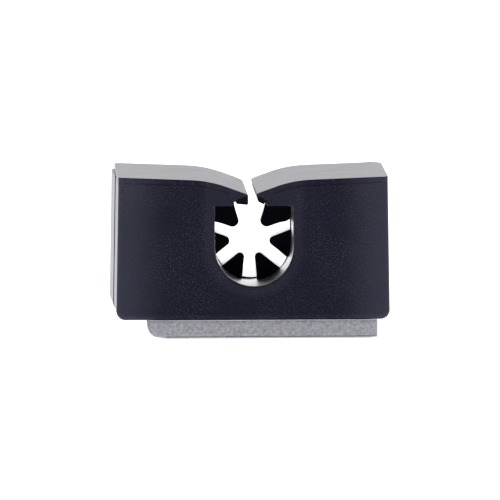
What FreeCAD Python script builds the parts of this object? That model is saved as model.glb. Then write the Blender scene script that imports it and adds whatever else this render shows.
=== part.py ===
"""Self-adhesive cable clip: a two-shell block whose slit top and ring of soft fins grip a cable.

+X is the clip's width, +Y runs back along the cable, +Z is up. The origin is the centre of the
underside, on the surface that the release liner rests on. All sizes are in millimetres.
"""
import FreeCAD, Part
import math
import os

V = FreeCAD.Vector

# Block
BLOCK_DEPTH = 20.0  # front face to rear face
FRONT_HALF_WIDTH = 18.0  # at the underside of the front face
FRONT_FLARE = 0.25  # growth of each side from the front face to the parting plane
REAR_STEP = 0.1  # how far the rear shell stands proud of the front shell at the parting plane
REAR_FLARE = 0.4  # growth of each side from the parting plane to the rear face
SIDE_DRAFT = 1.0  # degrees that each side leans in
LOWER_CORNER = 1.2  # radius of the two long lower corners
FACE_EDGE = 0.8  # rounding of the front and rear faces' outer edges

# Crown: each half of the top runs in almost level, then turns down to its lip
CROWN_SLOPE = 2.2  # degrees, outer run
LIP_SLOPE = 20.0  # degrees, at the lip
CROWN_RADIUS = 16.0  # between the two
CROWN_KNEE = 5.5  # from the slit's centre to where the two slopes would meet
SLIT_OFFSET = -0.3  # the slit and the crown's low point sit this far to the left

# Top skins
SKIN = 0.8  # thickness
SKIN_FLARE = 0.35  # growth of each side from front to rear

# Cable tunnel: a U with its round end down
TUNNEL_HALF_WIDTH = 5.15
TUNNEL_OFFSET = 0.1  # to the right
TUNNEL_FLOOR = 4.5  # thickness of the block under the tunnel
CEILING_RISE = 0.3  # how far the flat ceiling lies above the full circle of the round end
LIP_COVER = 2.3  # the block's outer height above that circle, less the lips' rolled roots
RIM_EDGE = 0.35

# Lips: name, side, radius of the tip's rear corner, then distances from the slit's centre of the hinge
# and of the tip's top and bottom, and the height of the tip's bottom above the tunnel's ceiling
LIPS = [
    ("left_lip", -1, 1.2, 2.15, 0.39, 0.39, 0.15),
    ("right_lip", 1, 0.5, 1.90, 0.76, 0.88, 0.50),
]
LIP_ROOT = 0.9  # radius of the rolled root
LIP_TIP_ROUND = 0.25
LIP_DOWN = 35.0  # degrees
LIP_UP = 15.0
BEND_GROOVE = 0.24  # from the hinge line to the end of the shell's ceiling

# Grip insert
INSERT_OFFSET = -0.25  # the insert and its fins sit this far to the left
INSERT_DEPTH = 3.4  # from the parting plane towards the front
INSERT_STEP = 0.2  # how much wider it is inside than the shells' tunnel
INSERT_WALL = 2.35
INSERT_ARM = 1.05  # thickness over the ceiling
INSERT_ARM_GAP = 2.7  # half the gap between the ends of its arms
INSERT_CORNER = 0.5  # radius of its two upper corners
POCKET_FIT = 0.03  # room round the insert in the shells

# Fins: row, then for the root its angle from straight down, depth in the insert and radius,
# and for the tip its angle, reach from the insert's inner wall and radius
FINS = [
    ("lower", 30.0, 0.0, 1.70, 32.0, 3.51, 0.52),
    ("side", 87.4, 0.0, 1.60, 91.5, 2.65, 0.60),
    ("upper", 139.0, 0.4, 1.60, 141.0, 2.50, 0.80),
]
FIN_SWING = 16.0  # degrees each way
FIN_END_GAP = 0.1  # room at each end of a fin
HINGE_FIT = 0.05  # room round every rolled root

# Shell cores and locating pins
CORE_WALL = 2.0
CORE_INNER_WALL = 2.25
CORE_BOTTOM_WALL = 4.4
CORE_TOP_WALL = 4.5
CORE_CORNER = 1.0
PIN_FROM_EDGE = 2.4  # height of the lower pins
PIN_BELOW_TOP = 3.0  # of the upper pins
PIN_RADIUS = 0.8
PIN_LENGTH = 2.4
PIN_FIT = 0.05

# Mounting pad
PAD_LEFT_INSET = 4.05  # from the block's side
PAD_RIGHT_INSET = 1.5
PAD_END_INSET = 0.4
PAD_CORNER = 1.6
FOAM_LOWER_ROUND = 1.5  # radius of the foam's lower left edge; the layers under it start beyond it
LINER = 0.12
FILM = 0.08
FOAM = 2.2

BASE = LINER + FILM + FOAM + FILM  # height of the block's underside
FRONT = -BLOCK_DEPTH / 2
REAR = BLOCK_DEPTH / 2
BLOCK_HEIGHT = TUNNEL_FLOOR + 2 * TUNNEL_HALF_WIDTH + LIP_COVER + 2 * LIP_ROOT
CENTRE_HEIGHT = BASE + TUNNEL_FLOOR + TUNNEL_HALF_WIDTH
TUNNEL_CEILING = TUNNEL_HALF_WIDTH + CEILING_RISE  # above the tunnel's centre
PARTING_HALF_WIDTH = FRONT_HALF_WIDTH + FRONT_FLARE
REAR_HALF_WIDTH = PARTING_HALF_WIDTH + REAR_STEP + REAR_FLARE
SKIN_FRONT_HALF_WIDTH = FRONT_HALF_WIDTH - BLOCK_HEIGHT * math.tan(math.radians(SIDE_DRAFT))
SKIN_REAR_HALF_WIDTH = SKIN_FRONT_HALF_WIDTH + SKIN_FLARE
INSERT_HALF_WIDTH = TUNNEL_HALF_WIDTH + INSERT_STEP
CORE_INNER_X = INSERT_HALF_WIDTH + INSERT_WALL + CORE_INNER_WALL - INSERT_OFFSET
CORE_OUTER_X = FRONT_HALF_WIDTH - CORE_WALL
PAST = 1.0  # how far a cutting solid runs past what it cuts
CLOSE = 1e-4  # positions nearer than this count as the same


def direction(degrees):
    """Unit vector in the XZ plane, counted from +X towards +Z."""
    angle = math.radians(degrees)
    return V(math.cos(angle), 0, math.sin(angle))


def outline(corners, y):
    """Closed wire through (x, z, radius) corners at depth y, each corner rounded by its radius."""
    edges = []
    ends = []
    count = len(corners)
    for i in range(count):
        neighbours = (corners[i - 1], corners[i], corners[(i + 1) % count])
        before, here, after = (V(x, y, z) for x, z, _ in neighbours)
        radius = corners[i][2]
        if radius == 0:
            ends.append((here, here))
            continue
        towards = (before - here).normalize()
        away = (after - here).normalize()
        half = towards.getAngle(away) / 2
        start = here + towards * (radius / math.tan(half))
        end = here + away * (radius / math.tan(half))
        bisector = (towards + away).normalize()
        middle = here + bisector * (radius / math.sin(half) - radius)
        edges.append(Part.Arc(start, middle, end).toShape())
        ends.append((start, end))
    for i in range(count):
        start = ends[i][1]
        end = ends[(i + 1) % count][0]
        if start.distanceToPoint(end) > CLOSE:
            edges.append(Part.makeLine(start, end))
    return Part.Wire(Part.__sortEdges__(edges))


def prism(corners, y_from, y_to):
    """Solid with a constant XZ outline between two depths."""
    return Part.Face(outline(corners, y_from)).extrude(V(0, y_to - y_from, 0))


def box(x_from, x_to, y_from, y_to, z_from, z_to):
    return Part.makeBox(x_to - x_from, y_to - y_from, z_to - z_from, V(x_from, y_from, z_from))


def rod(x, z, radius, y_from, y_to):
    return Part.makeCylinder(radius, y_to - y_from, V(x, y_from, z), V(0, 1, 0))


def at_side(shape, side, centre=0.0):
    """The shape moved to a centre line on the right, or mirrored to its left."""
    placed = shape if side > 0 else shape.mirror(V(0, 0, 0), V(1, 0, 0))
    return placed.translated(V(centre, 0, 0))


def rounded(shape, radius, picks):
    """Rounds every edge whose centre the test picks."""
    edges = [edge for edge in shape.Edges if picks(edge)]
    return shape.makeFillet(radius, edges)


def lies_at(edge, y):
    return abs(edge.BoundBox.YMin - y) < CLOSE and abs(edge.BoundBox.YMax - y) < CLOSE


# ---- Crown ----
def crown_lines(below):
    """Heights that the outer run and the lip run would reach at the slit's centre, lowered by a wall."""
    outer = math.radians(CROWN_SLOPE)
    lip = math.radians(LIP_SLOPE)
    end_height = BASE + BLOCK_HEIGHT
    outer_at_centre = end_height - SKIN_FRONT_HALF_WIDTH * math.tan(outer)
    knee_height = outer_at_centre + CROWN_KNEE * math.tan(outer)
    lip_at_centre = knee_height - CROWN_KNEE * math.tan(lip)
    return outer_at_centre - below / math.cos(outer), lip_at_centre - below / math.cos(lip)


def lip_run_height(x):
    """Height of the crown's lip run at a distance x from the slit's centre."""
    return crown_lines(0)[1] + x * math.tan(math.radians(LIP_SLOPE))


def block_outline(y, half_width, below, end_x=None, bottom=BASE):
    """The block's cross-section: flat underside, leaning sides and the crown lowered by a wall."""
    outer_at_centre, lip_at_centre = crown_lines(below)
    outer = math.tan(math.radians(CROWN_SLOPE))
    lip = math.tan(math.radians(LIP_SLOPE))
    knee_x = (outer_at_centre - lip_at_centre) / (lip - outer)
    top_x = end_x if end_x else half_width - BLOCK_HEIGHT * math.tan(math.radians(SIDE_DRAFT))
    right_top = outer_at_centre + (top_x - SLIT_OFFSET) * outer
    left_top = outer_at_centre + (top_x + SLIT_OFFSET) * outer
    knee = outer_at_centre + knee_x * outer
    corners = [
        (half_width, bottom, LOWER_CORNER),
        (top_x, right_top, 0),
        (SLIT_OFFSET + knee_x, knee, CROWN_RADIUS - below),
        (SLIT_OFFSET, lip_at_centre, 0),
        (SLIT_OFFSET - knee_x, knee, CROWN_RADIUS - below),
        (-top_x, left_top, 0),
        (-half_width, bottom, LOWER_CORNER),
    ]
    return outline(corners, y)


def loft(first, second):
    return Part.makeLoft([first, second], True, True)


# ---- Cutting solids shared by the pieces ----
def tunnel(half_width, offset, y_from, y_to):
    """The U-shaped way through the clip."""
    top = CENTRE_HEIGHT + TUNNEL_CEILING
    bottom = CENTRE_HEIGHT - half_width
    corners = [
        (offset + half_width, top, 0),
        (offset + half_width, bottom, half_width),
        (offset - half_width, bottom, half_width),
        (offset - half_width, top, 0),
    ]
    return prism(corners, y_from, y_to)


def swing_room(root, radius, upper, lower, reach, y_from, y_to):
    """Room for a rolled root and for the flap that swings on it between two flank directions."""
    upper_start = root + direction(upper + 90) * radius
    lower_start = root + direction(lower - 90) * radius
    upper_end = upper_start + direction(upper) * reach
    lower_end = lower_start + direction(lower) * reach
    points = [upper_start, upper_end, lower_end, lower_start]
    fan = prism([(point.x, point.z, 0) for point in points], y_from, y_to)
    return fan.fuse(rod(root.x, root.z, radius, y_from, y_to))


def lip_root(hinge_x):
    """Centre of a lip's rolled root, just under the crown, measured from the slit's centre."""
    return V(hinge_x, 0, lip_run_height(hinge_x) - LIP_ROOT / math.cos(math.radians(LIP_SLOPE)))


def tangent_from(point, centre, radius, turn):
    """Where a line from a point touches a circle, on the side that turn (+1 or -1) picks."""
    away = point - centre
    lean = math.degrees(math.acos(radius / away.Length))
    heading = math.degrees(math.atan2(away.z, away.x))
    return centre + direction(heading + turn * lean) * radius


def lip_points(hinge_x, tip_top_x, tip_bottom_x, rise):
    """Upper tangent point, upper tip, lower tip and lower tangent point, measured from the slit's centre."""
    root = lip_root(hinge_x)
    upper_tip = V(tip_top_x, 0, lip_run_height(tip_top_x))
    lower_tip = V(tip_bottom_x, 0, CENTRE_HEIGHT + TUNNEL_CEILING + rise)
    return (
        tangent_from(upper_tip, root, LIP_ROOT, -1),
        upper_tip,
        lower_tip,
        tangent_from(lower_tip, root, LIP_ROOT, 1),
    )


def heading_between(start, end):
    return math.degrees(math.atan2(end.z - start.z, end.x - start.x))


def slit():
    """Everything that the two lips and their swing need clear of the shells and skins."""
    y_from = FRONT - PAST
    y_to = REAR + PAST
    cuts = []
    for name, side, rear_round, hinge_x, *tip in LIPS:
        root = lip_root(hinge_x)
        upper_start, upper_tip, lower_tip, lower_start = lip_points(hinge_x, *tip)
        upper = heading_between(upper_start, upper_tip) - LIP_UP
        lower = heading_between(lower_start, lower_tip) + LIP_DOWN
        room = swing_room(root, LIP_ROOT + HINGE_FIT, lower, upper, 4 * LIP_ROOT, y_from, y_to)
        groove_floor = CENTRE_HEIGHT + TUNNEL_CEILING - PAST
        groove = box(0, hinge_x + BEND_GROOVE, y_from, y_to, groove_floor, root.z)
        gap = box(0, hinge_x, y_from, y_to, groove_floor, BASE + BLOCK_HEIGHT + PAST)
        cuts += [at_side(solid, side, SLIT_OFFSET) for solid in (room, groove, gap)]
    return cuts[0].fuse(cuts[1:])


def around_tunnel(side, reach, angle):
    """Point at a distance from the insert's centre and an angle from straight down."""
    turn = math.radians(angle)
    return V(INSERT_OFFSET + side * reach * math.sin(turn), 0, CENTRE_HEIGHT - reach * math.cos(turn))


def fins():
    """Each fin's name and its root and tip circles, as centre and radius."""
    for side, side_name in ((-1, "left"), (1, "right")):
        for row, root_angle, root_depth, root_radius, tip_angle, length, tip_radius in FINS:
            root = around_tunnel(side, INSERT_HALF_WIDTH + root_depth, root_angle)
            tip = around_tunnel(side, INSERT_HALF_WIDTH - length + tip_radius, tip_angle)
            yield f"{row}_{side_name}_fin", root, root_radius, tip, tip_radius


def flank_angle(root, root_radius, tip, tip_radius):
    """How much each flank closes in on the fin's centre line, in degrees."""
    return math.degrees(math.asin((root_radius - tip_radius) / (tip - root).Length))


def fin_room(root, root_radius, tip, tip_radius, y_from, y_to):
    heading = heading_between(root, tip)
    spread = FIN_SWING - flank_angle(root, root_radius, tip, tip_radius)
    radius = root_radius + HINGE_FIT
    return swing_room(root, radius, heading + spread, heading - spread, 2 * radius, y_from, y_to)


# ---- Shells ----
def core(y_from, y_to, side):
    """The hollow in one side of a shell, open at the parting plane."""
    bottom = BASE + CORE_BOTTOM_WALL
    top = BASE + BLOCK_HEIGHT - CORE_TOP_WALL
    corners = [
        (CORE_INNER_X, bottom, CORE_CORNER),
        (CORE_OUTER_X, bottom, CORE_CORNER),
        (CORE_OUTER_X, top, CORE_CORNER),
        (CORE_INNER_X, top, CORE_CORNER),
    ]
    return at_side(prism(corners, y_from, y_to), side)


def pin_places():
    x = (CORE_INNER_X + CORE_OUTER_X) / 2
    heights = (BASE + PIN_FROM_EDGE, BASE + BLOCK_HEIGHT - PIN_BELOW_TOP)
    return [(side * x, z) for side in (-1, 1) for z in heights]


def insert_outline(grow):
    """Outer outline of the grip insert, grown by a fit."""
    half_width = INSERT_HALF_WIDTH + INSERT_WALL + grow
    top = CENTRE_HEIGHT + TUNNEL_CEILING + INSERT_ARM + grow
    bottom = CENTRE_HEIGHT - half_width
    return [
        (INSERT_OFFSET + half_width, top, INSERT_CORNER),
        (INSERT_OFFSET + half_width, bottom, half_width),
        (INSERT_OFFSET - half_width, bottom, half_width),
        (INSERT_OFFSET - half_width, top, INSERT_CORNER),
    ]


def is_rim(edge, y):
    """True on the tunnel's round end and walls at one face."""
    centre = edge.BoundBox.Center
    height = centre.z - CENTRE_HEIGHT
    beside = abs(centre.x - TUNNEL_OFFSET) <= TUNNEL_HALF_WIDTH + CLOSE
    inside = beside and height < TUNNEL_CEILING - CLOSE
    return lies_at(edge, y) and inside and height > -TUNNEL_HALF_WIDTH - CLOSE


def is_outer(edge, y):
    """True on a face's underside, lower corners and sides."""
    centre = edge.BoundBox.Center
    under = centre.z < BASE + 2 * LOWER_CORNER
    beside = abs(centre.x) > SKIN_FRONT_HALF_WIDTH - LOWER_CORNER and edge.BoundBox.ZLength > BLOCK_HEIGHT / 2
    return lies_at(edge, y) and (under or beside)


def front_shell():
    block = loft(block_outline(FRONT, FRONT_HALF_WIDTH, SKIN), block_outline(0, PARTING_HALF_WIDTH, SKIN))
    block = rounded(block, FACE_EDGE, lambda edge: is_outer(edge, FRONT))
    block = block.cut(tunnel(TUNNEL_HALF_WIDTH, TUNNEL_OFFSET, FRONT - PAST, PAST))
    block = rounded(block, RIM_EDGE, lambda edge: is_rim(edge, FRONT))
    block = block.cut(prism(insert_outline(POCKET_FIT), -INSERT_DEPTH - POCKET_FIT, PAST))
    cuts = [slit()]
    cuts += [core(FRONT + CORE_WALL, PAST, side) for side in (-1, 1)]
    cuts += [rod(x, z, PIN_RADIUS + PIN_FIT, -PIN_LENGTH - PIN_FIT, PAST) for x, z in pin_places()]
    return block.cut(cuts)


def rear_shell():
    parting = block_outline(0, PARTING_HALF_WIDTH + REAR_STEP, SKIN)
    block = loft(parting, block_outline(REAR, REAR_HALF_WIDTH, SKIN))
    block = rounded(block, FACE_EDGE, lambda edge: is_outer(edge, REAR))
    block = block.cut(tunnel(TUNNEL_HALF_WIDTH, TUNNEL_OFFSET, -PAST, REAR + PAST))
    block = rounded(block, RIM_EDGE, lambda edge: is_rim(edge, REAR))
    cuts = [slit()]
    cuts += [core(-PAST, REAR - CORE_WALL, side) for side in (-1, 1)]
    block = block.cut(cuts)
    return block.fuse([rod(x, z, PIN_RADIUS, -PIN_LENGTH, PIN_LENGTH) for x, z in pin_places()])


# ---- Top skins and lips ----
def is_skin_corner(edge):
    """True on the four upright corners of the block that the skins are cut from."""
    return edge.BoundBox.ZLength > BLOCK_HEIGHT / 2 and edge.BoundBox.YLength < CLOSE


def top_skins():
    """Both skins, left first."""
    whole = loft(
        block_outline(FRONT, FRONT_HALF_WIDTH, 0, SKIN_FRONT_HALF_WIDTH),
        block_outline(REAR, REAR_HALF_WIDTH, 0, SKIN_REAR_HALF_WIDTH),
    )
    wide = REAR_HALF_WIDTH + PAST
    under = loft(
        block_outline(FRONT - PAST, wide, SKIN, wide, bottom=-PAST),
        block_outline(REAR + PAST, wide, SKIN, wide, bottom=-PAST),
    )
    corners = [edge for edge in whole.Edges if is_skin_corner(edge)]
    strips = whole.makeFillet(FACE_EDGE, corners).cut(under).cut(slit())
    solids = sorted(strips.Solids, key=lambda solid: solid.CenterOfMass.x)
    return [solids[0], solids[-1]]


def rear_corner(tip_x, radius):
    """What rounding the tip's rear corner, seen from above, takes away."""
    z_to = BASE + BLOCK_HEIGHT + PAST
    corner = box(0, tip_x + radius, REAR - radius, REAR + PAST, BASE, z_to)
    return corner.cut(Part.makeCylinder(radius, z_to, V(tip_x + radius, REAR - radius, 0)))


def lip(side, rear_round, hinge_x, *tip):
    """A flap with a rolled root and a blunt, slightly rounded tip, over the whole depth."""
    root = lip_root(hinge_x)
    upper_start, upper_tip, lower_tip, lower_start = lip_points(hinge_x, *tip)
    corners = [
        (upper_start.x, upper_start.z, 0),
        (upper_tip.x, upper_tip.z, LIP_TIP_ROUND),
        (lower_tip.x, lower_tip.z, LIP_TIP_ROUND),
        (lower_start.x, lower_start.z, 0),
    ]
    flap = prism(corners, FRONT, REAR).fuse(rod(root.x, root.z, LIP_ROOT, FRONT, REAR))
    flap = flap.removeSplitter().cut(rear_corner(upper_tip.x, rear_round))
    return at_side(flap, side, SLIT_OFFSET)


# ---- Grip insert and fins ----
def grip_insert():
    y_from = -INSERT_DEPTH
    body = prism(insert_outline(0), y_from, 0)
    inside = tunnel(INSERT_HALF_WIDTH, INSERT_OFFSET, y_from - PAST, PAST)
    top = CENTRE_HEIGHT + TUNNEL_CEILING + INSERT_ARM + PAST
    gap_left = INSERT_OFFSET - INSERT_ARM_GAP
    gap_right = INSERT_OFFSET + INSERT_ARM_GAP
    gap = box(gap_left, gap_right, y_from - PAST, PAST, CENTRE_HEIGHT, top)
    rooms = [fin_room(*circles, y_from - PAST, PAST) for name, *circles in fins()]
    return body.cut([inside, gap, slit()] + rooms)


def fin(root, root_radius, tip, tip_radius):
    """A tapered fin: the outer tangents of a root circle and a tip circle."""
    y_from = FIN_END_GAP - INSERT_DEPTH
    y_to = -FIN_END_GAP
    heading = heading_between(root, tip)
    flank = 90 - flank_angle(root, root_radius, tip, tip_radius)
    points = [
        root + direction(heading + flank) * root_radius,
        tip + direction(heading + flank) * tip_radius,
        tip + direction(heading - flank) * tip_radius,
        root + direction(heading - flank) * root_radius,
    ]
    blade = prism([(point.x, point.z, 0) for point in points], y_from, y_to)
    ends = [rod(root.x, root.z, root_radius, y_from, y_to), rod(tip.x, tip.z, tip_radius, y_from, y_to)]
    return blade.fuse(ends).removeSplitter()


# ---- Mounting pad ----
def pad_layer(z_from, thickness, left_cut=0.0):
    """One layer of the mounting pad: a plate with rounded corners seen from above."""
    x_from = PAD_LEFT_INSET - FRONT_HALF_WIDTH + left_cut
    x_to = FRONT_HALF_WIDTH - PAD_RIGHT_INSET
    plate = box(x_from, x_to, FRONT + PAD_END_INSET, REAR - PAD_END_INSET, z_from, z_from + thickness)
    upright = [edge for edge in plate.Edges if edge.BoundBox.ZLength > thickness / 2]
    return plate.makeFillet(PAD_CORNER, upright)


def foam_pad():
    """The pad's foam, whose lower left edge is rounded off along the whole depth."""
    plate = pad_layer(LINER + FILM, FOAM)
    x_from = PAD_LEFT_INSET - FRONT_HALF_WIDTH
    z_from = LINER + FILM
    radius = FOAM_LOWER_ROUND
    corner = box(x_from - PAST, x_from + radius, FRONT, REAR, z_from - PAST, z_from + radius)
    return plate.cut(corner.cut(rod(x_from + radius, z_from + radius, radius, FRONT, REAR)))


def build():
    left_skin, right_skin = top_skins()
    parts = {
        "front_shell": front_shell(),
        "rear_shell": rear_shell(),
        "left_top_skin": left_skin,
        "right_top_skin": right_skin,
        "grip_insert": grip_insert(),
        "release_liner": pad_layer(0, LINER, FOAM_LOWER_ROUND),
        "lower_adhesive_film": pad_layer(LINER, FILM, FOAM_LOWER_ROUND),
        "foam_pad": foam_pad(),
        "upper_adhesive_film": pad_layer(LINER + FILM + FOAM, FILM),
    }
    for name, *sizes in LIPS:
        parts[name] = lip(*sizes)
    for name, *circles in fins():
        parts[name] = fin(*circles)
    return parts


def main():
    os.makedirs("parts", exist_ok=True)
    for name, shape in build().items():
        solids = shape.Solids
        print(f"{name}: {len(solids)} solid, volume {shape.Volume:.2f}, valid {shape.isValid()}")
        part = solids[0] if len(solids) == 1 else shape
        part.exportStep(f"parts/{name}.step")
    for name, side, rear_round, hinge_x, *_ in LIPS:
        root = lip_root(hinge_x)
        print(f"{name} hinge: x {SLIT_OFFSET + side * root.x:.4f}, z {root.z:.4f}")
    for name, root, *_ in fins():
        print(f"{name} hinge: x {root.x:.4f}, z {root.z:.4f}")


main()
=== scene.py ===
import math

import bmesh
import bpy
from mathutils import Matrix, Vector, noise


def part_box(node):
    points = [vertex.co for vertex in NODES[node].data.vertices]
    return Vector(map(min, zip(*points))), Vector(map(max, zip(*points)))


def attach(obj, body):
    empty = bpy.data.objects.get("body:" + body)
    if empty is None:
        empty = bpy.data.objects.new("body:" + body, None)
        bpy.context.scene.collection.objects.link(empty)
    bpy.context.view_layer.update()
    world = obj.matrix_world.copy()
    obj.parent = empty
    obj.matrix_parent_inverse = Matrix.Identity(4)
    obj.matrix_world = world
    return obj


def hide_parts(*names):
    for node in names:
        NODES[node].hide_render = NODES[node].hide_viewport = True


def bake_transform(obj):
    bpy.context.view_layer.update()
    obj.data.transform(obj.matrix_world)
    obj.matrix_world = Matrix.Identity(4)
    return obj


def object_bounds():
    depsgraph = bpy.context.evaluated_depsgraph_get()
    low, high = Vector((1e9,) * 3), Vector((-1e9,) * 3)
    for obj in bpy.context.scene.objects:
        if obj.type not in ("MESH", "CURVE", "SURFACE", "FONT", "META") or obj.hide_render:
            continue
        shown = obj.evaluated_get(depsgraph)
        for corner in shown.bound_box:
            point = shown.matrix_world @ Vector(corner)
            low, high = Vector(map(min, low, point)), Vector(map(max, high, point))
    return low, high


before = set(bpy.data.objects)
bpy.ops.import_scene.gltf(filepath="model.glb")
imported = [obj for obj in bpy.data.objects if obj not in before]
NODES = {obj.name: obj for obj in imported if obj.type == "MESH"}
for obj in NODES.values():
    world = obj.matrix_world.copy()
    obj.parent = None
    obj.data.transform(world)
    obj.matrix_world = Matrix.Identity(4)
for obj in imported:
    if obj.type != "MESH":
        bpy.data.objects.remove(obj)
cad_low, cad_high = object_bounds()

MM = 0.001

# The clip's own sizes, in millimetres
FRONT, REAR = -10.0, 10.0
BASE = 2.48
HEIGHT = 18.9
CENTRE = BASE + 9.65
SLIT = -0.3  # how far the slit sits to the left
TOP_HALF = 17.67
TOP_FLARE = 0.35
SKIN = 0.8
CEILING = 5.45
BORE = 0.1  # how far the tunnel sits to the right
BORE_HALF = 5.15
BORE_RIM = 0.35
LIP_ROOT = 0.9
RING = -0.25  # how far the insert sits to the left
RING_INNER = 5.35
RING_OUTER = 7.7
RING_TOP = 6.5
OUTER_SLOPE = math.radians(2.2)
LIP_SLOPE = math.radians(20.0)
CROWN_RADIUS = 16.0
KNEE = 5.5


# ---------------------------------------------------------------- meshes
def inset(points, amount):
    """A closed outline, run anticlockwise, moved inwards along its own corners' normals."""
    moved = []
    count = len(points)
    for i in range(count):
        before = Vector(points[i - 1])
        here = Vector(points[i])
        after = Vector(points[(i + 1) % count])
        one = (here - before).normalized()
        two = (after - here).normalized()
        normal = Vector((-one.y - two.y, one.x + two.x))
        if normal.length < 1e-6:
            moved.append(tuple(here))
            continue
        normal.normalize()
        lean = max(0.5, normal.dot(Vector((-one.y, one.x))))
        moved.append(tuple(here + normal * (amount / lean)))
    return moved


def split_long(points, longest):
    """The same closed outline with its long sides divided."""
    out = []
    for i, here in enumerate(points):
        after = points[(i + 1) % len(points)]
        length = math.dist(here, after)
        pieces = max(1, math.ceil(length / longest))
        for k in range(pieces):
            t = k / pieces
            out.append((here[0] + (after[0] - here[0]) * t, here[1] + (after[1] - here[1]) * t))
    return out


def arc(centre, radius, start, end, steps):
    """Points on an arc in the XZ plane, from one angle to another in degrees."""
    angles = [math.radians(start + (end - start) * i / steps) for i in range(steps + 1)]
    return [(centre[0] + radius * math.cos(a), centre[1] + radius * math.sin(a)) for a in angles]


def area(points):
    """Signed area of a closed outline, positive when it runs anticlockwise."""
    return 0.5 * sum(points[i - 1][0] * p[1] - p[0] * points[i - 1][1] for i, p in enumerate(points))


def sweep(name, points, y_from, y_to, edge, steps=12, place=None):
    """A closed bar with rounded end edges: the outline carried along Y; place may move each point."""
    if area(points) < 0:
        points = points[::-1]
    stations = []
    turns = 4
    for i in range(turns + 1):
        a = math.pi / 2 * i / turns
        stations.append((y_from + edge * (1 - math.sin(a)), edge * (1 - math.cos(a))))
    support = 0.015
    stations.append((y_from + edge + support, 0.0))
    for i in range(1, steps):
        stations.append((y_from + edge + (y_to - y_from - 2 * edge) * i / steps, 0.0))
    stations.append((y_to - edge - support, 0.0))
    for i in range(turns + 1):
        a = math.pi / 2 * (1 - i / turns)
        stations.append((y_to - edge * (1 - math.sin(a)), edge * (1 - math.cos(a))))
    verts = []
    for y, amount in stations:
        loop = inset(points, amount) if amount > 1e-9 else points
        for x, z in loop:
            if place:
                x, z = place(x, y, z)
            verts.append((x * MM, y * MM, z * MM))
    count = len(points)
    faces = []
    for s in range(len(stations) - 1):
        for i in range(count):
            j = (i + 1) % count
            faces.append((s * count + i, s * count + j, (s + 1) * count + j, (s + 1) * count + i))
    faces.append(tuple(reversed(range(count))))
    faces.append(tuple(range(len(verts) - count, len(verts))))
    mesh = bpy.data.meshes.new(name)
    mesh.from_pydata(verts, [], faces)
    tidy = bmesh.new()
    tidy.from_mesh(mesh)
    bmesh.ops.remove_doubles(tidy, verts=tidy.verts, dist=2e-7)
    bmesh.ops.recalc_face_normals(tidy, faces=tidy.faces)
    tidy.to_mesh(mesh)
    tidy.free()
    return finished(name, mesh)


def finished(name, mesh):
    """The mesh as a smooth object that keeps its sharp corners."""
    for polygon in mesh.polygons:
        polygon.use_smooth = True
    mesh.set_sharp_from_angle(angle=math.radians(42))
    obj = bpy.data.objects.new(name, mesh)
    bpy.context.scene.collection.objects.link(obj)
    return obj


# ---------------------------------------------------------------- top skins with their lips
def crown(d, below=0.0):
    """Height of the top at a distance d from the slit, on a line parallel to it and lower by a wall."""
    at_slit = BASE + HEIGHT - TOP_HALF * math.tan(OUTER_SLOPE)
    tangent = CROWN_RADIUS * math.tan((LIP_SLOPE - OUTER_SLOPE) / 2)
    start = KNEE + tangent * math.cos(OUTER_SLOPE)
    centre_d = start + CROWN_RADIUS * math.sin(OUTER_SLOPE)
    centre_z = at_slit + start * math.tan(OUTER_SLOPE) - CROWN_RADIUS * math.cos(OUTER_SLOPE)
    radius = CROWN_RADIUS - below
    if d >= centre_d - radius * math.sin(OUTER_SLOPE):
        return at_slit + d * math.tan(OUTER_SLOPE) - below / math.cos(OUTER_SLOPE)
    if d <= centre_d - radius * math.sin(LIP_SLOPE):
        knee = at_slit + KNEE * math.tan(OUTER_SLOPE)
        return knee + (d - KNEE) * math.tan(LIP_SLOPE) - below / math.cos(LIP_SLOPE)
    return centre_z + math.sqrt(radius ** 2 - (d - centre_d) ** 2)


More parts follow.
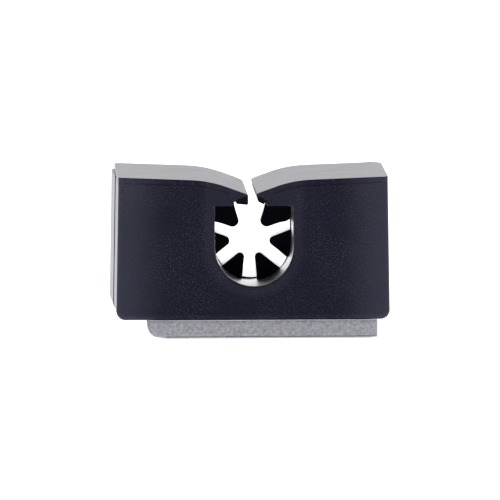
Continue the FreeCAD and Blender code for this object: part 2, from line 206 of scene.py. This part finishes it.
def top_skin(name, side, hinge, tip_top, tip_low, rise, tip_round, rear_round, rear_outer):
    """One half of the soft top: a thin skin that thickens over its bend and ends in a blunt lip."""
    outer = TOP_HALF - side * SLIT
    low_tip_z = CENTRE + CEILING + rise
    root_z = crown(hinge) - LIP_ROOT / math.cos(LIP_SLOPE)
    # the top, from the outer end in to the tip
    top = []
    d = outer
    while d > tip_top + tip_round:
        top.append((d, crown(d)))
        d -= 0.8 if d > 7 else 0.14
    # the tip's blunt end, its corners rounded
    end = []
    upper = (tip_top + tip_round, crown(tip_top + tip_round) - tip_round * 1.05)
    end += arc(upper, tip_round, 105, 180, 6)
    lower = (tip_low + tip_round, low_tip_z + tip_round)
    end += arc(lower, tip_round, 180, 265, 6)
    # the underside of the lip, out to the groove that lets it bend, then round the rolled root
    groove = hinge - 0.02
    under = []
    d = tip_low + 2 * tip_round
    while d < groove - 0.34:
        t = (d - tip_low) / (groove - tip_low)
        under.append((d, low_tip_z + (root_z - 0.86 - low_tip_z) * t))
        d += 0.14
    under.append((groove - 0.30, root_z - 0.86))
    under.append((groove - 0.20, root_z - 0.80))
    under.append((groove - 0.10, root_z - 0.62))
    under.append((groove, root_z - 0.56))
    under.append((groove + 0.10, root_z - 0.62))
    under.append((groove + 0.17, root_z - 0.84))
    root = arc((hinge, root_z), 0.97, -70, 2, 10)
    beyond = []
    d = hinge + 0.97
    while d < outer:
        beyond.append((d, crown(d, SKIN)))
        d += 0.14 if d < 6 else 0.8
    beyond.append((outer, crown(outer, SKIN)))
    outline = [(SLIT + side * d, z) for d, z in top + end + under + root + beyond]
    grip = 2.0

    def shaped(x, y, z):
        """The outer end flares and has round corners; so does the lip's rear corner."""
        d = side * (x - SLIT)
        free = hinge - tip_top
        if d < hinge and REAR - y < rear_round:
            pull = rear_round - math.sqrt(max(0.0, rear_round ** 2 - (rear_round - REAR + y) ** 2))
            pulled = hinge - (hinge - d) * (free - pull) / free
            if crown(d) - z < 0.3:
                z += crown(pulled) - crown(d)
            return SLIT + side * pulled, z
        reach = side * x
        start = TOP_HALF - grip
        if reach <= start:
            return x, z
        wide = TOP_HALF + TOP_FLARE * (y - FRONT) / (REAR - FRONT)
        corner, near = (0.8, y - FRONT) if y < 0 else (rear_outer, REAR - y)
        if near < corner:
            wide -= corner - math.sqrt(max(0.0, corner ** 2 - (corner - near) ** 2))
        return side * (start + (reach - start) * (wide - start) / (TOP_HALF - start)), z

    obj = sweep(name, outline, FRONT, REAR, 0.06, 60, shaped)
    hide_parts(f"{name}_top_skin", f"{name}_lip")
    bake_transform(obj)
    return obj


# ---------------------------------------------------------------- grip ring and fins
def around(side, reach, angle):
    a = math.radians(angle)
    return Vector((RING + side * reach * math.sin(a), CENTRE - reach * math.cos(a)))


def ring():
    """The soft insert: a U whose two arms turn in over the ceiling."""
    arm = 3.2
    outer = [(RING + arm, CENTRE + RING_TOP)]
    outer += arc((RING + RING_OUTER - 0.5, CENTRE + RING_TOP - 0.5), 0.5, 90, 0, 5)
    outer += arc((RING, CENTRE), RING_OUTER, 0, -180, 48)
    outer += arc((RING - RING_OUTER + 0.5, CENTRE + RING_TOP - 0.5), 0.5, 180, 90, 5)
    inner = [(RING - arm, CENTRE + RING_TOP), (RING - arm, CENTRE + CEILING)]
    inner += arc((RING - RING_INNER + 0.3, CENTRE + CEILING - 0.3), 0.3, 90, 180, 4)
    inner += arc((RING, CENTRE), RING_INNER, 180, 360, 48)
    inner += arc((RING + RING_INNER - 0.3, CENTRE + CEILING - 0.3), 0.3, 0, 90, 4)
    inner += [(RING + arm, CENTRE + CEILING)]
    obj = sweep("grip_ring", outer + inner, -3.4, 0.0, 0.03, 6)
    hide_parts("grip_insert")
    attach(obj, "clip_body")
    return obj


def fin(name, side, root_angle, root_reach, root_radius, tip_angle, tip_reach, tip_radius, swell, plug):
    """A lobe that grows out of the ring: round tip, closing flanks and a flared foot."""
    root = around(side, root_reach, root_angle)
    tip = around(side, tip_reach, tip_angle)
    axis = (root - tip).normalized()
    across = Vector((-axis.y, axis.x))
    length = (root - tip).length
    lean = math.asin((root_radius - tip_radius) / length)
    heading = math.degrees(math.atan2(-axis.y, -axis.x))
    half_turn = 90 - math.degrees(lean)
    nose = arc(tip, tip_radius, heading - half_turn, heading + half_turn, 22)
    rows = 16
    first = tip_radius * math.sin(lean)
    last = length + plug
    left, right = [], []
    for i in range(1, rows + 1):
        s = first + (last - first) * i / rows
        width = tip_radius / math.cos(lean) + s * math.tan(lean)
        width += swell * math.exp(-abs(RING_INNER - tip_reach - s) / 0.45)
        one = tip + axis * s - across * width
        two = tip + axis * s + across * width
        left.append(one)
        right.append(two)
    inside_x = RING_INNER + 0.55
    inside_z = CEILING + 0.55
    loop = [Vector(p) for p in nose]
    # the nose runs anticlockwise, so it ends on the far flank
    far_first = (loop[-1] - right[0]).length < (loop[-1] - left[0]).length
    far, near = (right, left) if far_first else (left, right)
    loop = loop + far + near[::-1]
    kept = []
    for p in loop:
        x = max(RING - inside_x, min(RING + inside_x, p.x))
        z = min(CENTRE + inside_z, p.y)
        away = Vector((x - RING, min(0.0, z - CENTRE)))
        if away.length > inside_x and z < CENTRE:
            away = away.normalized() * inside_x
            x, z = RING + away.x, CENTRE + away.y
        if not kept or math.dist(kept[-1], (x, z)) > 0.02:
            kept.append((x, z))
    obj = sweep(name, split_long(kept, 0.3), -3.3, -0.1, 0.05, 6)
    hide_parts(name)
    start = root + axis * 0.25
    finish = tip + axis * (length * 0.45)
    start = Vector((start.x, 0, start.y)) * MM
    finish = Vector((finish.x, 0, finish.y)) * MM
    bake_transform(obj)
    return obj


FINS = [
    ("lower", 30.0, 5.35, 1.70, 32.0, 2.40, 0.56, 0.10, 0.3),
    ("side", 87.4, 5.35, 1.65, 91.5, 3.30, 0.64, 0.10, 0.3),
    ("upper", 139.0, 5.75, 1.75, 141.0, 3.60, 0.82, 0.25, 3.2),
]


# ---------------------------------------------------------------- foam pad
def foam_pad():
    """A block of closed-cell foam: slightly soft edges and small open pores on its cut sides."""
    low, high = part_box("foam_pad")
    x0, y0, z0 = low / MM
    x1, y1, z1 = high / MM
    corner = 1.6
    lower_left = 1.5
    loop = []
    for cx, cy, start in ((x1 - corner, y0 + corner, -90), (x1 - corner, y1 - corner, 0),
                          (x0 + corner, y1 - corner, 90), (x0 + corner, y0 + corner, 180)):
        loop += arc((cx, cy), corner, start, start + 90, 12)
    loop = split_long(loop, 0.13)
    rows = 18
    verts = []
    for r in range(rows + 1):
        t = r / rows
        z = z0 + (z1 - z0) * t
        ends = min(t, 1 - t) * (z1 - z0)
        pull = 0.16 * max(0.0, 1 - ends / 0.35) ** 2
        shrunk = inset(loop, pull + 0.02)
        for i, (x, y) in enumerate(shrunk):
            here = Vector((x, y, z))
            normal = Vector((x - inset_centre(x, x0, x1, corner), y - inset_centre(y, y0, y1, corner), 0))
            normal = normal.normalized() if normal.length > 1e-6 else Vector((0, 0, 0))
            cells = noise.voronoi(here * 2.6)[0]
            fine = noise.noise(here * 6.0)
            pore = max(0.0, 0.30 - cells[0]) * 0.34
            here -= normal * (pore + 0.022 * fine + 0.02)
            run = here.x - x0
            if run < lower_left:
                lift = lower_left - math.sqrt(max(0.0, lower_left ** 2 - (lower_left - max(0.0, run)) ** 2))
                here.z = max(here.z, z0 + min(lift, z1 - z0 - 0.3) * (1 - t) + (z1 - z0) * t)
            verts.append(tuple(here * MM))
    count = len(loop)
    faces = []
    for r in range(rows):
        for i in range(count):
            j = (i + 1) % count
            faces.append((r * count + i, r * count + j, (r + 1) * count + j, (r + 1) * count + i))
    faces.append(tuple(reversed(range(count))))
    faces.append(tuple(range(rows * count, (rows + 1) * count)))
    mesh = bpy.data.meshes.new("foam_block")
    mesh.from_pydata(verts, [], faces)
    obj = finished("foam_block", mesh)
    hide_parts("foam_pad")
    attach(obj, "clip_body")
    return obj


def inset_centre(value, low, high, corner):
    """The nearest point of the core line that a rounded plate's side normals come from."""
    return max(low + corner, min(high - corner, value))


# ---------------------------------------------------------------- materials
def new_material(name):
    material = bpy.data.materials.new(name)
    material.use_nodes = True
    tree = material.node_tree
    return material, tree, tree.nodes, tree.links


def grain_noise(nodes, links, coords, scale, detail, rough=0.55):
    texture = nodes.new("ShaderNodeTexNoise")
    texture.inputs["Scale"].default_value = scale
    texture.inputs["Detail"].default_value = detail
    texture.inputs["Roughness"].default_value = rough
    links.new(coords.outputs["Object"], texture.inputs["Vector"])
    return texture


def spread(nodes, links, source, low, high, start=0.3, end=0.7, ease=False):
    """The source's range start..end carried to low..high, with soft ends if eased."""
    node = nodes.new("ShaderNodeMapRange")
    if ease:
        node.interpolation_type = "SMOOTHERSTEP"
    node.inputs["From Min"].default_value = start
    node.inputs["From Max"].default_value = end
    node.inputs["To Min"].default_value = low
    node.inputs["To Max"].default_value = high
    links.new(source, node.inputs["Value"])
    return node.outputs["Result"]


def ramp_of(nodes, links, factor, dark, light, start=0.3, end=0.7):
    """A varying factor turned into a colour between two tints."""
    tint = nodes.new("ShaderNodeValToRGB")
    tint.color_ramp.elements[0].position = start
    tint.color_ramp.elements[0].color = (*dark, 1)
    tint.color_ramp.elements[1].position = end
    tint.color_ramp.elements[1].color = (*light, 1)
    links.new(factor, tint.inputs["Fac"])
    return tint.outputs["Color"]


def arithmetic(nodes, links, operation, one, two=None, constant=0.0):
    node = nodes.new("ShaderNodeMath")
    node.operation = operation
    links.new(one, node.inputs[0])
    if two is None:
        node.inputs[1].default_value = constant
    else:
        links.new(two, node.inputs[1])
    return node.outputs[0]


def blended(nodes, links, factor, one, two):
    node = nodes.new("ShaderNodeMix")
    node.data_type = "RGBA"
    links.new(factor, node.inputs["Factor"])
    links.new(one, node.inputs["A"])
    links.new(two, node.inputs["B"])
    return node.outputs["Result"]


def painted_highlight_ends(nodes, links, coords, grain, colour):
    """Painted highlight: the block's outer ends, and a narrow band round its mouth, are painted a little
    paler where light falls across their rounded edges.
    """
    split = nodes.new("ShaderNodeSeparateXYZ")
    links.new(coords.outputs["Object"], split.inputs[0])
    across = arithmetic(nodes, links, "ABSOLUTE", split.outputs["X"])
    ends = spread(nodes, links, across, 0.0, 1.0, 9.5 * MM, 18.6 * MM, ease=True)
    up = arithmetic(nodes, links, "SUBTRACT", split.outputs["Z"], constant=CENTRE * MM)
    low = arithmetic(nodes, links, "MINIMUM", up, constant=0.0)
    join = nodes.new("ShaderNodeCombineXYZ")
    links.new(across, join.inputs["X"])
    links.new(low, join.inputs["Z"])
    away = nodes.new("ShaderNodeVectorMath")
    away.operation = "LENGTH"
    links.new(join.outputs[0], away.inputs[0])
    band = spread(nodes, links, away.outputs["Value"], 0.34, 0.0, 5.7 * MM, 7.3 * MM, ease=True)
    factor = arithmetic(nodes, links, "MAXIMUM", ends, band)
    return blended(nodes, links, factor, colour, ramp_of(nodes, links, grain, *HIGHLIGHT_TINT))


def flecks(nodes, links, coords, grain, colour):
    """Fine pale flecks in the moulded grain, denser in some places than in others."""
    dots = grain_noise(nodes, links, coords, 5200, 2, 0.7)
    where = grain_noise(nodes, links, coords, 170, 2)
    bright = spread(nodes, links, dots.outputs["Fac"], 0.0, 0.8, 0.53, 0.67)
    dense = spread(nodes, links, where.outputs["Fac"], 0.4, 1.0, 0.40, 0.62)
    factor = arithmetic(nodes, links, "MULTIPLY", bright, dense)
    return blended(nodes, links, factor, colour, ramp_of(nodes, links, grain, *FLECK))


def painted_shade_under_lips(nodes, links, coords, grain, colour):
    """As on the block, with painted shade: the two lips are painted blacker below, where shade falls under
    them.
    """
    move = nodes.new("ShaderNodeMapping")
    move.vector_type = "TEXTURE"
    move.inputs["Location"].default_value = (SLIT * MM, 0, 17.8 * MM)
    move.inputs["Scale"].default_value = (2.3 * MM, 1.0, 1.15 * MM)
    links.new(coords.outputs["Object"], move.inputs["Vector"])
    flat = nodes.new("ShaderNodeVectorMath")
    flat.operation = "MULTIPLY"
    flat.inputs[1].default_value = (1, 0, 1)
    links.new(move.outputs[0], flat.inputs[0])
    away = nodes.new("ShaderNodeVectorMath")
    away.operation = "LENGTH"
    links.new(flat.outputs[0], away.inputs[0])
    # painted shade: darkest inside an ellipse round the slit just under the lips, fading outwards
    dark = spread(nodes, links, away.outputs["Value"], 1.0, 0.0, 0.88, 1.06)
    return blended(nodes, links, dark, colour, ramp_of(nodes, links, grain, *SHADE_TINT))


def moulded(name, dark, light, roughness, grain, bump, sheen, from_facing=0.86, level=0.25, soft=0.28,
            place_tints=(), streaks=0.0):
    """Moulded plastic or rubber: two close tints, fine grain, and a pale gloss at glancing angles."""
    material, tree, nodes, links = new_material(name)
    shader = nodes["Principled BSDF"]
    coords = nodes.new("ShaderNodeTexCoord")
    fine = grain_noise(nodes, links, coords, grain, 4)
    broad = grain_noise(nodes, links, coords, 260, 3)
    both = arithmetic(nodes, links, "MULTIPLY", fine.outputs["Fac"], constant=0.5)
    both = arithmetic(nodes, links, "ADD", both, spread(nodes, links, broad.outputs["Fac"], 0.2, 0.3))
    colour = ramp_of(nodes, links, both, dark, light)
    # the place tints add fine flecks, and on some materials a painted highlight and painted shade
    for place_tint in place_tints:
        colour = place_tint(nodes, links, coords, both, colour)
    links.new(colour, shader.inputs["Base Color"])
    rough = spread(nodes, links, fine.outputs["Fac"], roughness - 0.07, roughness + 0.09)
    links.new(rough, shader.inputs["Roughness"])
    shader.inputs["Specular IOR Level"].default_value = level
    relief = nodes.new("ShaderNodeBump")
    relief.inputs["Strength"].default_value = bump
    relief.inputs["Distance"].default_value = 0.00003
    links.new(fine.outputs["Fac"], relief.inputs["Height"])
    links.new(relief.outputs["Normal"], shader.inputs["Normal"])
    gloss = nodes.new("ShaderNodeBsdfAnisotropic")
    gloss.inputs["Color"].default_value = (0.97, 0.97, 1.0, 1)
    gloss.inputs["Roughness"].default_value = soft
    facing = nodes.new("ShaderNodeLayerWeight")
    facing.inputs["Blend"].default_value = 0.5
    amount = spread(nodes, links, facing.outputs["Facing"], 0.0, sheen, from_facing - 0.16, from_facing)
    if streaks:
        drawn = nodes.new("ShaderNodeMapping")
        drawn.inputs["Scale"].default_value = (0.12, 1.0, 1.0)
        links.new(coords.outputs["Object"], drawn.inputs["Vector"])
        lines = nodes.new("ShaderNodeTexNoise")
        lines.inputs["Scale"].default_value = 1500
        lines.inputs["Detail"].default_value = 5
        links.new(drawn.outputs[0], lines.inputs["Vector"])
        vary = spread(nodes, links, lines.outputs["Fac"], 1 - streaks, 1 + streaks)
        amount = arithmetic(nodes, links, "MULTIPLY", amount, vary)
    mix = nodes.new("ShaderNodeMixShader")
    links.new(amount, mix.inputs[0])
    links.new(shader.outputs[0], mix.inputs[1])
    links.new(gloss.outputs[0], mix.inputs[2])
    links.new(mix.outputs[0], nodes["Material Output"].inputs["Surface"])
    return material


def foam_material():
    material, tree, nodes, links = new_material("closed_cell_foam")
    shader = nodes["Principled BSDF"]
    coords = nodes.new("ShaderNodeTexCoord")
    cells = nodes.new("ShaderNodeTexVoronoi")
    cells.inputs["Scale"].default_value = 3600
    links.new(coords.outputs["Object"], cells.inputs["Vector"])
    speckle = grain_noise(nodes, links, coords, 2600, 4, 0.65)
    tint = ramp_of(nodes, links, speckle.outputs["Fac"], (0.25, 0.25, 0.29), (0.58, 0.58, 0.63), 0.28, 0.72)
    links.new(tint, shader.inputs["Base Color"])
    links.new(spread(nodes, links, speckle.outputs["Fac"], 0.78, 0.95), shader.inputs["Roughness"])
    relief = nodes.new("ShaderNodeBump")
    relief.inputs["Strength"].default_value = 0.5
    relief.inputs["Distance"].default_value = 0.00008
    links.new(cells.outputs["Distance"], relief.inputs["Height"])
    links.new(relief.outputs["Normal"], shader.inputs["Normal"])
    return material


def film_material(name, dark, light, roughness, fibre):
    material, tree, nodes, links = new_material(name)
    shader = nodes["Principled BSDF"]
    coords = nodes.new("ShaderNodeTexCoord")
    streak = grain_noise(nodes, links, coords, fibre, 5)
    tint = ramp_of(nodes, links, streak.outputs["Fac"], dark, light, 0.35, 0.65)
    links.new(tint, shader.inputs["Base Color"])
    rough = spread(nodes, links, streak.outputs["Fac"], roughness - 0.06, roughness + 0.1)
    links.new(rough, shader.inputs["Roughness"])
    return material


def floor_material():
    material, tree, nodes, links = new_material("floor_white")
    shader = nodes["Principled BSDF"]
    shader.inputs["Base Color"].default_value = (0.92, 0.92, 0.92, 1)
    shader.inputs["Roughness"].default_value = 0.7
    shader.inputs["Emission Color"].default_value = (1, 1, 1, 1)
    shader.inputs["Emission Strength"].default_value = 0.85
    return material


def dress(obj, material):
    obj.data.materials.clear()
    obj.data.materials.append(material)


def dress_shell(node, outside, bore):
    """The shell's own material, with a smoother one on the wall of the way through it."""
    mesh = node.data
    mesh.materials.clear()
    mesh.materials.append(outside)
    mesh.materials.append(bore)
    world = node.matrix_world
    for polygon in mesh.polygons:
        at = world @ polygon.center / MM
        normal = world.to_3x3() @ polygon.normal
        low = math.hypot(at.x - BORE, min(0.0, at.z - CENTRE))
        in_bore = low < BORE_HALF + BORE_RIM and at.z < CENTRE + CEILING - 0.02 and abs(normal.y) < 0.85
        polygon.material_index = 1 if in_bore else 0


# ---------------------------------------------------------------- studio
def look_from(azimuth, elevation, distance, target, lens):
    camera = bpy.data.objects.new("camera", bpy.data.cameras.new("camera"))
    bpy.context.scene.collection.objects.link(camera)
    a = math.radians(azimuth)
    e = math.radians(elevation)
    back = Vector((math.sin(a) * math.cos(e), -math.cos(a) * math.cos(e), math.sin(e)))
    camera.location = target + back * distance
    camera.rotation_mode = "QUATERNION"
    camera.rotation_quaternion = (-back).to_track_quat("-Z", "Y")
    camera.data.lens = lens
    camera.data.sensor_width = 36
    camera.data.clip_start = 0.01
    camera.data.clip_end = 20
    bpy.context.scene.camera = camera


def white_world(front, behind):
    """White to the camera; to everything else a soft room that is dim in front and bright behind."""
    world = bpy.data.worlds.new("studio")
    bpy.context.scene.world = world
    world.use_nodes = True
    tree = world.node_tree
    nodes, links = tree.nodes, tree.links
    nodes.clear()
    out = nodes.new("ShaderNodeOutputWorld")
    mix = nodes.new("ShaderNodeMixShader")
    seen = nodes.new("ShaderNodeBackground")
    seen.inputs["Color"].default_value = (1, 1, 1, 1)
    light = nodes.new("ShaderNodeBackground")
    coords = nodes.new("ShaderNodeTexCoord")
    split = nodes.new("ShaderNodeSeparateXYZ")
    ramp = nodes.new("ShaderNodeMapRange")
    ramp.inputs["From Min"].default_value = -1
    ramp.inputs["From Max"].default_value = 0.9
    ramp.inputs["To Min"].default_value = front
    ramp.inputs["To Max"].default_value = behind
    path = nodes.new("ShaderNodeLightPath")
    links.new(coords.outputs["Generated"], split.inputs[0])
    links.new(split.outputs["Y"], ramp.inputs["Value"])
    links.new(ramp.outputs["Result"], light.inputs["Color"])
    links.new(path.outputs["Is Camera Ray"], mix.inputs[0])
    links.new(light.outputs[0], mix.inputs[1])
    links.new(seen.outputs[0], mix.inputs[2])
    links.new(mix.outputs[0], out.inputs[0])


def floor():
    mesh = bpy.data.meshes.new("floor")
    size = 1.5
    corners = [(-size, -size, 0), (size, -size, 0), (size, size, 0), (-size, size, 0)]
    mesh.from_pydata(corners, [], [(0, 1, 2, 3)])
    obj = bpy.data.objects.new("floor", mesh)
    bpy.context.scene.collection.objects.link(obj)
    obj.location.z = cad_low.z - 0.00002
    mesh.materials.append(floor_material())


# ---------------------------------------------------------------- build
bpy.context.scene.view_settings.view_transform = "Standard"

NAVY = (0.0053, 0.0050, 0.0150), (0.0122, 0.0115, 0.0295)
# painted highlight tint for the block's outer ends and the band round its mouth
HIGHLIGHT_TINT = (0.030, 0.0305, 0.053), (0.049, 0.0495, 0.077)
FLECK = (0.045, 0.045, 0.070), (0.080, 0.080, 0.115)
# painted shade tint for under the lips
SHADE_TINT = (0.0006, 0.0006, 0.0010), (0.0014, 0.0014, 0.0020)
# the shell's tints include a painted highlight on its outer ends and round its mouth
shell = moulded("shell_plastic", *NAVY, 0.55, 5200, 0.35, 0.33, level=0.10,
                 place_tints=(painted_highlight_ends, flecks), streaks=0.05)
bore = moulded("bore_plastic", (0.012, 0.012, 0.020), (0.020, 0.020, 0.032), 0.34, 4200, 0.12, 0.97, 0.62,
               soft=0.36)
# the skin's tints include the painted highlight and painted shade under the lips
skin = moulded("skin_rubber", *NAVY, 0.55, 4600, 0.30, 0.35, level=0.10,
                place_tints=(painted_highlight_ends, flecks, painted_shade_under_lips), streaks=0.12)
grip = moulded("grip_rubber", (0.0006, 0.0005, 0.0028), (0.0014, 0.0012, 0.0062), 0.5, 3800, 0.12, 0.97, 0.66,
               level=0.04)
foam = foam_material()
clear = film_material("acrylic_film", (0.60, 0.60, 0.62), (0.70, 0.70, 0.72), 0.3, 900)
paper = film_material("release_paper", (0.76, 0.76, 0.77), (0.88, 0.88, 0.89), 0.6, 1800)

for name in ("front_shell", "rear_shell"):
    dress_shell(NODES[name], shell, bore)
for name, node in NODES.items():
    if name in ("front_shell", "rear_shell"):
        continue
    dress(node, clear if "film" in name else paper if "liner" in name else grip)

dress(top_skin("left", -1, 2.15, 0.39, 0.39, 0.15, 0.22, 1.5, 0.8), skin)
dress(top_skin("right", 1, 1.90, 0.76, 0.88, 0.50, 0.22, 0.5, 2.0), skin)
dress(ring(), grip)
for side, side_name in ((-1, "left"), (1, "right")):
    for row, *sizes in FINS:
        dress(fin(f"{row}_{side_name}_fin", side, *sizes), grip)
dress(foam_pad(), foam)

white_world(0.12, 1.15)
floor()
look_from(-2.28, 6.76, 0.59, Vector((-0.45, FRONT, 11.79)) * MM, 324.0)
